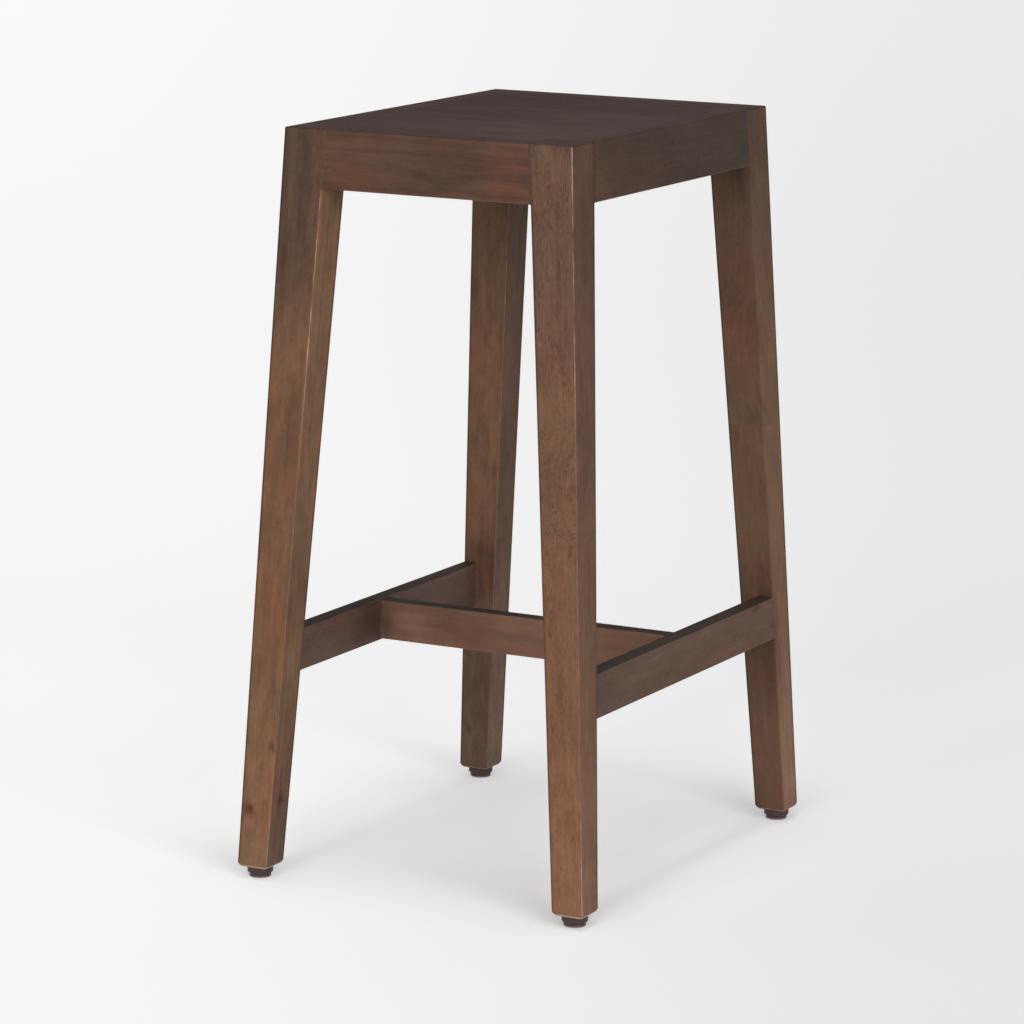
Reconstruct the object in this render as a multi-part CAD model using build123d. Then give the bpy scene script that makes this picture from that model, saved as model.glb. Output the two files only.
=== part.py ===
from build123d import *
import os

# A backless counter-height stool in solid wood: four tapered legs splayed both ways, four aprons
# tenoned into them, a flush seat of glued boards, an H of footrest stretchers and four levelling feet.
# Millimetres, Z up. X runs along the front of the seat and Y from front to rear.
# The origin is on the floor under the middle of the seat.

# Overall sizes
seat_height = 660.0
seat_width = 276.0
seat_depth = 378.0
stance_width = 341.0
stance_depth = 435.0

# Legs: square in plan, tapering and leaning outwards all the way down
leg_top_side = 40.9
leg_bottom_side = 29.7
leg_lift = 9.8
leg_arris_radius = 1.5
leg_toe_chamfer = 2.2

# Aprons: upright inside, with outer faces that lean flush with the legs
apron_height = 51.0
apron_thickness = 20.0
apron_arris_radius = 1.5
apron_tenon_cheek = 6.0
apron_tenon_top_shoulder = 8.0
apron_tenon_bottom_shoulder = 8.5
apron_tenon_clearance = 2.5

# Seat boards, glued edge to edge and let in flush between the aprons
seat_thickness = 18.0
seat_board_names = ("front", "middle", "rear")
seat_gap = 0.3

# Corner blocks and cleats that carry the seat boards from below
support_recess = 2.5
corner_block_side = 72.0
cleat_width = 16.0
cleat_end_gap = 2.0

# Footrest stretchers
stretcher_mid_height = 194.5
side_stretcher_height = 39.0
centre_stretcher_height = 36.0
stretcher_thickness = 15.0
stretcher_setback = 0.3
stretcher_arris_radius = 1.2
stretcher_tenon_length = 18.0
stretcher_tenon_cheek = 3.5
stretcher_tenon_shoulder = 6.0
centre_tenon_cheek = 4.0
centre_tenon_shoulder = 6.0
centre_tenon_wall = 5.0

# Glue room left at the blind end of every mortise, and how far shaping cuts run on past the wood
mortise_end_gap = 1.0
cutter_overrun = 20.0

# Wood screws
screw_diameter = 4.0
screw_head_diameter = 8.0
screw_head_height = 2.6
screw_head_sides = 8
screw_shank_sides = 6
screw_hole_clearance = 0.1
counterbore_clearance = 0.5
frame_screw_sink = 2.0
frame_screw_bite = 14.0
seat_screw_sink = 4.0
seat_screw_bite = 12.0
block_screw_from_corner = 49.0
block_seat_screw_from_corner = 30.0
cleat_frame_screw_share = 1 / 3
cleat_seat_screw_share = 1 / 6

# Levelling feet: a threaded stem with a moulded collar, turning on a pad that stays on the floor
stem_diameter = 8.0
stem_hexagon_flats = 13.0
hexagon_sides = 6
stem_length_in_leg = 30.0
stem_tail_step = 1.8
stem_bore_clearance = 0.6
stem_bore_extra_depth = 6.0
running_clearance = 0.06
moulded_clearance = 0.05
insert_sides = 12
insert_wall = 1.5
insert_length = 14.0
insert_flange_overhang = 2.0
insert_flange_thickness = 1.5
collar_diameter = 22.8
collar_chamfer = 1.6
collar_gap = 0.1
pad_diameter = 19.2
pad_height = 3.2
pad_floor = 0.9
pad_socket_sides = 12

# Places that several pieces share
corners = {
    "front_left": (-1, -1),
    "front_right": (1, -1),
    "rear_left": (-1, 1),
    "rear_right": (1, 1),
}
apron_bottom = seat_height - apron_height
apron_tenon_thickness = apron_thickness - 2 * apron_tenon_cheek
apron_tenon_height = apron_height - apron_tenon_top_shoulder - apron_tenon_bottom_shoulder
apron_inner_x = seat_width / 2 - apron_thickness
apron_inner_y = seat_depth / 2 - apron_thickness
support_top = seat_height - seat_thickness
support_bottom = apron_bottom + support_recess
support_height = support_top - support_bottom
support_middle = (support_top + support_bottom) / 2
cleat_length = 2 * (apron_inner_y - corner_block_side - cleat_end_gap)
stretcher_tenon_thickness = stretcher_thickness - 2 * stretcher_tenon_cheek
stretcher_tenon_height = side_stretcher_height - 2 * stretcher_tenon_shoulder
centre_tenon_thickness = stretcher_thickness - 2 * centre_tenon_cheek
centre_tenon_height = centre_stretcher_height - 2 * centre_tenon_shoulder
frame_screw_grip = cleat_width - frame_screw_sink
frame_screw_length = frame_screw_grip + frame_screw_bite
seat_screw_grip = support_height - seat_screw_sink
seat_screw_length = seat_screw_grip + seat_screw_bite
stem_tail_diameter = stem_diameter - 2 * stem_tail_step
insert_diameter = stem_diameter + 2 * insert_wall
insert_flange_diameter = insert_diameter + 2 * insert_flange_overhang
collar_bottom = pad_height + collar_gap
collar_height = leg_lift - collar_gap - collar_bottom


def at_height(top, bottom, z):
    """A leg measure at height z, from its values at the top and the bottom of the leg."""
    return top + (bottom - top) * (seat_height - z) / (seat_height - leg_lift)


def outer_x(z):
    return at_height(seat_width / 2, stance_width / 2, z)


def outer_y(z):
    return at_height(seat_depth / 2, stance_depth / 2, z)


def leg_side(z):
    return at_height(leg_top_side, leg_bottom_side, z)


def leg_middle(sx, sy, z):
    half = leg_side(z) / 2
    return (sx * (outer_x(z) - half), sy * (outer_y(z) - half), z)


def square_corners(middle, side):
    x, y, z = middle
    return [(x + sx * side / 2, y + sy * side / 2, z) for sx, sy in corners.values()]


def leg_taper(sx, sy, z_low, z_high, grow=0.0):
    """The plain tapered and splayed leg between two heights, with sharp arrises."""
    points = []
    for z in (z_low, z_high):
        points += square_corners(leg_middle(sx, sy, z), leg_side(z) + 2 * grow)
    return ConvexPolyhedron(points)


def leg_cutters(grow=0.0):
    """Sharp legs that run on above the seat, for cutting whatever butts against the real ones."""
    top = seat_height + cutter_overrun
    return [leg_taper(sx, sy, leg_lift, top, grow) for sx, sy in corners.values()]


def edge_near(solid, point):
    return min(solid.edges(), key=lambda edge: (edge.center() - Vector(*point)).length)


def cut(solid, tools):
    for tool in tools:
        solid = solid - tool
    return solid


def along(origin, direction, solid):
    """Places a solid drawn along +Z at a point, pointing in a direction."""
    return Plane(origin=origin, z_dir=direction) * solid


def rod(diameter, length):
    return Cylinder(diameter / 2, length, align=(Align.CENTER, Align.CENTER, Align.MIN))


# Screws are faceted, and point along +Z from the underside of the head
def facets(diameter, sides, length, outside=True):
    """A many-sided rod whose corners, or else flats, lie on the diameter."""
    return extrude(RegularPolygon(diameter / 2, sides, major_radius=outside), amount=length)


def wood_screw(length):
    head = facets(screw_head_diameter, screw_head_sides, screw_head_height)
    return facets(screw_diameter, screw_shank_sides, length) + Pos(0, 0, -screw_head_height) * head


def screw_hole(length, room_behind):
    """Clearance for a screw, with a counterbore that runs back past its head."""
    bore = screw_diameter + 2 * screw_hole_clearance
    counterbore = screw_head_diameter + 2 * counterbore_clearance
    shank_hole = facets(bore, screw_shank_sides, length + screw_hole_clearance, outside=False)
    head_hole = facets(counterbore, screw_head_sides, room_behind, outside=False)
    return shank_hole + Pos(0, 0, -room_behind) * head_hole


def frame_screw_places():
    """Head seats and directions of the screws that fix corner blocks and cleats to the aprons."""
    seat_x = apron_inner_x - frame_screw_grip
    seat_y = apron_inner_y - frame_screw_grip
    along_y = apron_inner_y - block_screw_from_corner
    along_x = apron_inner_x - block_screw_from_corner
    cleat_y = cleat_length * cleat_frame_screw_share
    places = []
    for sx, sy in corners.values():
        places.append(((sx * seat_x, sy * along_y, support_middle), (sx, 0, 0)))
        places.append(((sx * along_x, sy * seat_y, support_middle), (0, sy, 0)))
        places.append(((sx * seat_x, sy * cleat_y, support_middle), (sx, 0, 0)))
    return places


def seat_screw_places():
    """Head seats and directions of the screws that hold the seat boards down from below."""
    seat_z = support_top - seat_screw_grip
    block_x = apron_inner_x - block_seat_screw_from_corner
    block_y = apron_inner_y - block_seat_screw_from_corner
    cleat_x = apron_inner_x - cleat_width / 2
    cleat_y = cleat_length * cleat_seat_screw_share
    places = []
    for sx, sy in corners.values():
        places.append(((sx * block_x, sy * block_y, seat_z), (0, 0, 1)))
        places.append(((sx * cleat_x, sy * cleat_y, seat_z), (0, 0, 1)))
    return places


def screw_holes():
    frame = screw_hole(frame_screw_length, corner_block_side)
    seat = screw_hole(seat_screw_length, support_height)
    holes = [along(place, way, frame) for place, way in frame_screw_places()]
    return holes + [along(place, way, seat) for place, way in seat_screw_places()]


# Aprons are drawn running along X and then turned to their side of the frame
apron_sides = {
    "front": ("x", -1),
    "rear": ("x", 1),
    "left": ("y", -1),
    "right": ("y", 1),
}


def apron_place(axis, side, z):
    run, out = (seat_width, seat_depth) if axis == "x" else (seat_depth, seat_width)
    turn = Rot(0, 0, 0) if axis == "x" else Rot(0, 0, -90)
    return run, turn * Pos(0, side * (out - apron_thickness) / 2, z)


def apron_tenon(axis, side, extra=0.0):
    """Both tenons of an apron as one bar; they stop short of the tenons of the next aprons."""
    tenon_middle = seat_height - apron_tenon_top_shoulder - apron_tenon_height / 2
    run, place = apron_place(axis, side, tenon_middle)
    end = run / 2 - (apron_thickness + apron_tenon_thickness) / 2 - apron_tenon_clearance
    return place * Box(2 * (end + extra), apron_tenon_thickness, apron_tenon_height)


def apron_lean(axis):
    """How far the leaning faces of the legs come out between the top and the bottom of an apron."""
    if axis == "x":
        return outer_y(apron_bottom) - outer_y(seat_height)
    return outer_x(apron_bottom) - outer_x(seat_height)


def apron(axis, side):
    """An apron with an upright inner face; its outer face leans and stays flush with the legs."""
    run, place = apron_place(axis, side, seat_height)
    inner = -side * apron_thickness / 2
    outer_top = side * apron_thickness / 2
    outer_bottom = outer_top + side * apron_lean(axis)
    outline = Polyline(
        (inner, 0),
        (outer_top, 0),
        (outer_bottom, -apron_height),
        (inner, -apron_height),
        close=True,
    )
    bar = extrude(Plane.YZ * make_face(outline), amount=(run - leg_top_side) / 2, both=True)
    soft = bar.edges().filter_by(Axis.X).group_by(Axis.Z)[0]
    soft.append(edge_near(bar, (0, outer_top, 0)))
    bar = place * fillet(soft, apron_arris_radius)
    return cut(bar, leg_cutters()) + apron_tenon(axis, side)


# Footrest stretchers
def stretcher_inner_x(z):
    return outer_x(z) - stretcher_setback - stretcher_thickness


def side_stretcher_bar(sx):
    """The plain bar of a side stretcher, leaning with the outer faces of the legs."""
    z_low = stretcher_mid_height - side_stretcher_height / 2
    z_high = stretcher_mid_height + side_stretcher_height / 2
    outline = Polyline(
        (sx * stretcher_inner_x(z_low), z_low),
        (sx * (stretcher_inner_x(z_low) + stretcher_thickness), z_low),
        (sx * (stretcher_inner_x(z_high) + stretcher_thickness), z_high),
        (sx * stretcher_inner_x(z_high), z_high),
        close=True,
    )
    reach = outer_y(stretcher_mid_height) - leg_side(stretcher_mid_height) / 2
    bar = extrude(Plane.XZ * make_face(outline), amount=reach, both=True)
    return fillet(bar.edges().filter_by(Axis.Y), stretcher_arris_radius)


def side_stretcher_tenon(sx, extra=0.0):
    shoulder = outer_y(stretcher_mid_height) - leg_side(stretcher_mid_height)
    middle_x = stretcher_inner_x(stretcher_mid_height) + stretcher_thickness / 2
    bar = Box(
        stretcher_tenon_thickness,
        2 * (shoulder + stretcher_tenon_length + extra),
        stretcher_tenon_height,
    )
    return Pos(sx * middle_x, 0, stretcher_mid_height) * bar


def centre_tenon(extra=0.0):
    depth = stretcher_thickness - centre_tenon_wall - mortise_end_gap
    reach = stretcher_inner_x(stretcher_mid_height) + depth + extra
    return Pos(0, 0, stretcher_mid_height) * Box(2 * reach, centre_tenon_thickness, centre_tenon_height)


def side_stretcher(sx):
    bar = cut(side_stretcher_bar(sx), leg_cutters()) + side_stretcher_tenon(sx)
    return bar - centre_tenon(mortise_end_gap)


def centre_stretcher():
    reach = stretcher_inner_x(stretcher_mid_height) + stretcher_thickness / 2
    bar = Box(2 * reach, stretcher_thickness, centre_stretcher_height)
    bar = fillet(bar.edges().filter_by(Axis.X), stretcher_arris_radius)
    bar = Pos(0, 0, stretcher_mid_height) * bar
    return cut(bar, [side_stretcher_bar(-1), side_stretcher_bar(1)]) + centre_tenon()


# Levelling feet stand upright under the middle of each leg bottom
def foot_axis(sx, sy):
    x, y, _ = leg_middle(sx, sy, leg_lift)
    return x, y


def foot_bores(sx, sy):
    x, y = foot_axis(sx, sy)
    body = facets(insert_diameter + 2 * moulded_clearance, insert_sides, insert_length)
    flange = facets(insert_flange_diameter + 2 * moulded_clearance, insert_sides, insert_flange_thickness)
    stem_room = stem_diameter + 2 * stem_bore_clearance
    stem = facets(stem_room, insert_sides, stem_length_in_leg + stem_bore_extra_depth, outside=False)
    return Pos(x, y, leg_lift) * (body + flange + stem)


def foot_insert(sx, sy):
    """A knurled threaded insert, many-sided so that it grips the end grain."""
    x, y = foot_axis(sx, sy)
    body = facets(insert_diameter, insert_sides, insert_length)
    flange = facets(insert_flange_diameter, insert_sides, insert_flange_thickness)
    bore_diameter = stem_diameter + 2 * running_clearance
    bore = facets(bore_diameter, insert_sides, insert_length, outside=False)
    return Pos(x, y, leg_lift) * (body + flange - bore)


def stem_hexagon(clearance=0.0):
    return facets(stem_hexagon_flats + 2 * clearance, hexagon_sides, collar_height, outside=False)


def foot_stem(sx, sy):
    """A threaded stem on a hexagon that turns with the collar, and a round tail that turns in the pad."""
    x, y = foot_axis(sx, sy)
    shank = rod(stem_diameter, leg_lift + stem_length_in_leg - collar_bottom)
    tail_bottom = pad_floor + collar_gap
    tail = rod(stem_tail_diameter, collar_bottom - tail_bottom)
    return Pos(x, y, collar_bottom) * (stem_hexagon() + shank) + Pos(x, y, tail_bottom) * tail


def foot_collar(sx, sy):
    """A collar moulded round the hexagon of the stem, chamfered down towards the pad."""
    x, y = foot_axis(sx, sy)
    collar = rod(collar_diameter, collar_height)
    collar = chamfer(collar.edges().group_by(Axis.Z)[0], collar_chamfer)
    return Pos(x, y, collar_bottom) * (collar - stem_hexagon(moulded_clearance))


def foot_pad(sx, sy):
    x, y = foot_axis(sx, sy)
    socket_diameter = stem_tail_diameter + 2 * running_clearance
    socket = facets(socket_diameter, pad_socket_sides, pad_height, outside=False)
    return Pos(x, y, 0) * (rod(pad_diameter, pad_height) - Pos(0, 0, pad_floor) * socket)


# Legs
def leg(sx, sy):
    """A leg rounded on its free arrises; beside the aprons its arrises stay sharp."""
    shaft = leg_taper(sx, sy, leg_lift, apron_bottom)
    arrises = [edge for edge in shaft.edges() if edge.bounding_box().size.Z > leg_bottom_side]
    shaft = fillet(arrises, leg_arris_radius)
    head = leg_taper(sx, sy, apron_bottom, seat_height)
    head_middle = (seat_height + apron_bottom) / 2
    half = leg_top_side / 2
    free = [
        (sx * outer_x(head_middle), sy * outer_y(head_middle), head_middle),
        (sx * seat_width / 2, sy * (seat_depth / 2 - half), seat_height),
        (sx * (seat_width / 2 - half), sy * seat_depth / 2, seat_height),
    ]
    head = fillet([edge_near(head, point) for point in free], leg_arris_radius)
    return (head + shaft) & toe_hopper(sx, sy)


def toe_hopper(sx, sy):
    """A wide funnel whose sloping sides chamfer the bottom edges of a leg."""
    x, y = foot_axis(sx, sy)
    mouth = leg_bottom_side - 2 * leg_toe_chamfer
    top = seat_height + cutter_overrun
    rim = mouth + 2 * (top - leg_lift)
    return ConvexPolyhedron(square_corners((x, y, leg_lift), mouth) + square_corners((x, y, top), rim))


def mortises():
    found = [apron_tenon(axis, side, mortise_end_gap) for axis, side in apron_sides.values()]
    return found + [side_stretcher_tenon(sx, mortise_end_gap) for sx in (-1, 1)]


# Seat boards, cleats and corner blocks
def seat_board(place):
    width = 2 * (apron_inner_y - seat_gap) / len(seat_board_names)
    middle_y = (place - (len(seat_board_names) - 1) / 2) * width
    board = Box(2 * (apron_inner_x - seat_gap), width, seat_thickness)
    board = Pos(0, middle_y, seat_height - seat_thickness / 2) * board
    return cut(board, leg_cutters(seat_gap))


def corner_block(sx, sy):
    corner = (sx * apron_inner_x, sy * apron_inner_y)
    outline = Polyline(
        corner,
        (corner[0] - sx * corner_block_side, corner[1]),
        (corner[0], corner[1] - sy * corner_block_side),
        close=True,
    )
    prism = extrude(make_face(outline), amount=support_height, dir=(0, 0, 1))
    return cut(Pos(0, 0, support_bottom) * prism, leg_cutters())


def seat_cleat(sx):
    strip = Box(cleat_width, cleat_length, support_height)
    return Pos(sx * (apron_inner_x - cleat_width / 2), 0, support_middle) * strip


# Every piece by name
holes = screw_holes()
pieces = {}
for place, name in enumerate(seat_board_names):
    pieces[f"seat_board_{name}"] = cut(seat_board(place), holes)
for name, (axis, side) in apron_sides.items():
    pieces[f"apron_{name}"] = cut(apron(axis, side), holes)
for name, sx in (("left", -1), ("right", 1)):
    pieces[f"seat_cleat_{name}"] = cut(seat_cleat(sx), holes)
    pieces[f"stretcher_{name}"] = side_stretcher(sx)
pieces["stretcher_centre"] = centre_stretcher()
for name, (sx, sy) in corners.items():
    pieces[f"leg_{name}"] = cut(leg(sx, sy), mortises() + [foot_bores(sx, sy)])
    pieces[f"corner_block_{name}"] = cut(corner_block(sx, sy), holes)
    pieces[f"foot_insert_{name}"] = foot_insert(sx, sy)
    pieces[f"foot_stem_{name}"] = foot_stem(sx, sy)
    pieces[f"foot_collar_{name}"] = foot_collar(sx, sy)
    pieces[f"foot_pad_{name}"] = foot_pad(sx, sy)
frame_screw = wood_screw(frame_screw_length)
seat_screw = wood_screw(seat_screw_length)
pieces["frame_screws"] = Compound([along(place, way, frame_screw) for place, way in frame_screw_places()])
pieces["seat_screws"] = Compound([along(place, way, seat_screw) for place, way in seat_screw_places()])

os.makedirs("parts", exist_ok=True)
for name, shape in pieces.items():
    export_step(shape, f"parts/{name}.step")
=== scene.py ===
import math
from types import SimpleNamespace

import bmesh
import bpy
from mathutils import Matrix, Vector


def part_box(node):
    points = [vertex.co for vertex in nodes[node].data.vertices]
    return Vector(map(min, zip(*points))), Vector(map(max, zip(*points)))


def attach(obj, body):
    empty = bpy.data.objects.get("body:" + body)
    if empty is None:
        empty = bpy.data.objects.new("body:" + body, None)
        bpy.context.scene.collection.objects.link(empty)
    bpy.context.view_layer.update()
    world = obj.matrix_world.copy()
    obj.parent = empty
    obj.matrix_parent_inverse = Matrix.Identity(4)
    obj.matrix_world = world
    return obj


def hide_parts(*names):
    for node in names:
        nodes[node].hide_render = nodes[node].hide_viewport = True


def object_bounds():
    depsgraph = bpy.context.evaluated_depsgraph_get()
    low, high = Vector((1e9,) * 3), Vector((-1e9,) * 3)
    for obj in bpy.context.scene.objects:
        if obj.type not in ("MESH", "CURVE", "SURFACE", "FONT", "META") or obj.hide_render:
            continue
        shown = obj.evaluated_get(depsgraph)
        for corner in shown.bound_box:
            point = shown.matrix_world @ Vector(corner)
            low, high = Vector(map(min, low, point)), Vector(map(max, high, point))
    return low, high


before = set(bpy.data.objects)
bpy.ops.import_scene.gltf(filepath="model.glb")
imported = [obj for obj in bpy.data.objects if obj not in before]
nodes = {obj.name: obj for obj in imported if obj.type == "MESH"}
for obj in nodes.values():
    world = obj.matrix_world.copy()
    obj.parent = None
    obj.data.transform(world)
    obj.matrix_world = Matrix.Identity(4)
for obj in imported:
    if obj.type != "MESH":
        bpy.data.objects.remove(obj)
cad_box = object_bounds()

corners = ("front_left", "front_right", "rear_left", "rear_right")
apron_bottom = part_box("apron_front")[0].z

# Sizes of the wood, in metres
leg_top_side = 0.0409
leg_bottom_side = 0.0297
seat_edge = Vector((0.138, 0.189))

# Sizes of the screws and of the feet
screw_shank_diameter = 0.0039
screw_head_diameter = 0.0076
screw_head_height = 0.0025
screw_pitch = 0.0018
stem_diameter = 0.008
stem_pitch = 0.00125
stem_hexagon_flats = 0.013
stem_tail_diameter = 0.0044
collar_chamfer = 0.0016
fit_gap = 0.0001

# Threads and points, in pitches
stem_thread_depth = 0.55
screw_thread_depth = 0.4
thread_flank = (0.06, 0.44)
screw_point = 2.0

# The cross in a screw's head, in shares of the head
slot_length = 0.56
slot_width = 0.14
slot_depth = 1.5

# How near two points of a mesh are that count as one, or as level
weld_distance = 1e-6
level_tolerance = 1e-5

# The camera, as it stood for the photograph
camera_azimuth = math.radians(28.066)
camera_elevation = math.radians(11.143)
camera_roll = math.radians(0.488)
camera_distance = 4.01214
camera_lens = 158.63
camera_aim_height = 0.30688
camera_aim_sideways = -0.01414
sensor_width = 36.0

# The floor's glow where the picture shows it, and its plain colour outside the picture
floor_radius = 40.0
floor_colour = (0.90, 0.90, 0.90, 1)
far_glow = 0.625
near_glow_drop = 0.363
glow_fade = 0.71
side_glow = 0.067
side_glow_slope = 0.12
stool_glow = 0.050
stool_glow_depth = 0.22
stool_glow_half_width = 0.52
stool_glow_half_depth = 0.62
stool_glow_fade = (0.2, 1.0)
picture_slope = 0.15
beside_fade = (0.1, 1.3)
nearer_fade = (-2.2, -0.8)
outside_colour = (0.86, 0.86, 0.86, 1)
world_strength = 0.30

# How much the finishes reflect
wood_sheen = 0.12
raw_wood_sheen = 0.2
plastic_sheen = 0.4


def stain(red, green, blue):
    """A colour as it is seen, from 0 to 255, as a colour socket takes it."""
    shares = (red / 255, green / 255, blue / 255)
    linear = [s / 12.92 if s <= 0.04045 else ((s + 0.055) / 1.055) ** 2.4 for s in shares]
    return (*linear, 1.0)


# Short ways to add nodes to the tree that is being made

making = SimpleNamespace(tree=None)


def put(socket, value):
    """Links a socket to another one, or sets its plain value."""
    if isinstance(value, bpy.types.NodeSocket):
        making.tree.links.new(value, socket)
    else:
        socket.default_value = value


def add(kind, inputs=None, out=0, **settings):
    """Adds a node with its settings and inputs, and gives one of its outputs."""
    node = making.tree.nodes.new(kind)
    for name, value in settings.items():
        setattr(node, name, value)
    for key, value in (inputs or {}).items():
        put(node.inputs[key], value)
    return node.outputs[out]


def calc(operation, a, b=0.0, c=0.0):
    return add("ShaderNodeMath", {0: a, 1: b, 2: c}, operation=operation)


def plus(a, b):
    return calc("ADD", a, b)


def minus(a, b):
    return calc("SUBTRACT", a, b)


def times(a, b):
    return calc("MULTIPLY", a, b)


def vector_calc(operation, a, b=(0.0, 0.0, 0.0)):
    return add("ShaderNodeVectorMath", {0: a, 1: b}, operation=operation)


def vector_times(vector, factor):
    return add("ShaderNodeVectorMath", {0: vector, "Scale": factor}, operation="SCALE")


def vector_length(vector):
    return add("ShaderNodeVectorMath", {0: vector}, "Value", operation="LENGTH")


def vector_dot(a, b):
    return add("ShaderNodeVectorMath", {0: a, 1: b}, "Value", operation="DOT_PRODUCT")


def split(vector):
    """The three parts of a vector."""
    return add("ShaderNodeSeparateXYZ", {0: vector}).node.outputs


def join(x, y, z):
    return add("ShaderNodeCombineXYZ", {0: x, 1: y, 2: z})


def step(value, low, high, start=0.0, end=1.0):
    """A smooth step from start to end as the value goes from low to high."""
    return add(
        "ShaderNodeMapRange",
        {"Value": value, "From Min": low, "From Max": high, "To Min": start, "To Max": end},
        interpolation_type="SMOOTHSTEP",
    )


def noise(place, scale, detail=2.0, roughness=0.5, out=0):
    """Noise with its own scale along each axis, in repeats for each metre."""
    stretched = vector_calc("MULTIPLY", place, scale)
    inputs = {"Vector": stretched, "Scale": 1.0, "Detail": detail, "Roughness": roughness}
    return add("ShaderNodeTexNoise", inputs, out)


def mix(factor, a, b, blend="MIX"):
    """Mixes two colours."""
    return add("ShaderNodeMix", {0: factor, 6: a, 7: b}, 2, data_type="RGBA", blend_type=blend)


def node_group(name, inputs, outputs, kind="ShaderNodeTree"):
    """Begins a group of nodes with sockets by name and kind: its tree, inputs and outputs."""
    group = bpy.data.node_groups.new(name, kind)
    making.tree = group
    for way, sockets in (("INPUT", inputs), ("OUTPUT", outputs)):
        for label, socket in sockets.items():
            group.interface.new_socket(label, in_out=way, socket_type="NodeSocket" + socket)
    entry = group.nodes.new("NodeGroupInput")
    end = group.nodes.new("NodeGroupOutput")
    return group, entry.outputs, end.inputs


def use(group, inputs):
    """Places a group in the tree and gives its outputs."""
    node = making.tree.nodes.new(making.tree.bl_idname.replace("Tree", "Group"))
    node.node_tree = group
    for key, value in inputs.items():
        put(node.inputs[key], value)
    return node.outputs


# Shader groups that the woods share

def leg_taper_group():
    """Where a point is in a leaning, tapered leg: its height, its face and how far the arrises are."""
    places = dict.fromkeys(("Place", "Foot", "Head"), "Vector")
    group, given, made = node_group(
        "leg_taper",
        {**places, "Foot Half": "Float", "Head Half": "Float"},
        {"Grain": "Vector", "Share": "Float", "Side": "Float", "Edge": "Float", "Arris": "Float"},
    )
    from_foot = vector_calc("SUBTRACT", given["Place"], given["Foot"])
    whole = vector_calc("SUBTRACT", given["Head"], given["Foot"])
    rise = split(from_foot)["Z"]
    share = calc("DIVIDE", rise, split(whole)["Z"])
    centre = vector_times(whole, share)
    across = split(vector_calc("SUBTRACT", from_foot, centre))
    growth = minus(given["Head Half"], given["Foot Half"])
    half = calc("MULTIPLY_ADD", share, growth, given["Foot Half"])
    wide = calc("ABSOLUTE", across["X"])
    deep = calc("ABSOLUTE", across["Y"])
    from_right = minus(half, across["X"])
    from_front = plus(half, across["Y"])
    put(made["Grain"], join(across["X"], across["Y"], rise))
    put(made["Share"], share)
    put(made["Side"], step(minus(wide, deep), -0.0006, 0.0006))
    put(made["Edge"], minus(half, calc("MINIMUM", wide, deep)))
    put(made["Arris"], calc("MAXIMUM", from_right, from_front))
    return group


def board_place_group():
    """Where a point is in a board, with the grain turned to Z, and how far the nearest edge is."""
    inputs = dict.fromkeys(("Place", "Low", "High", "Turn"), "Vector")
    outputs = {"Grain": "Vector", "Edge": "Float"}
    group, given, made = node_group("board_place", inputs, outputs)
    below = vector_calc("SUBTRACT", given["Place"], given["Low"])
    above = vector_calc("SUBTRACT", given["High"], given["Place"])
    gaps = split(vector_calc("MINIMUM", below, above))
    low_pair = calc("MINIMUM", gaps["X"], gaps["Y"])
    high_pair = calc("MAXIMUM", gaps["X"], gaps["Y"])
    edge = calc("MAXIMUM", low_pair, calc("MINIMUM", high_pair, gaps["Z"]))
    middle = vector_times(vector_calc("ADD", given["Low"], given["High"]), 0.5)
    local = vector_calc("SUBTRACT", given["Place"], middle)
    turn = {"Vector": local, "Rotation": given["Turn"]}
    put(made["Grain"], add("ShaderNodeVectorRotate", turn, rotation_type="EULER_XYZ"))
    put(made["Edge"], edge)
    return group


def tinted(colour, mask, tint):
    """Multiplies a colour by a tint where the mask says so."""
    return mix(mask, colour, mix(1.0, colour, (*tint, 1), "MULTIPLY"))


def centred(value, amount):
    """A noise value brought round nought and made stronger or weaker."""
    return times(minus(value, 0.5), amount)


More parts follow.
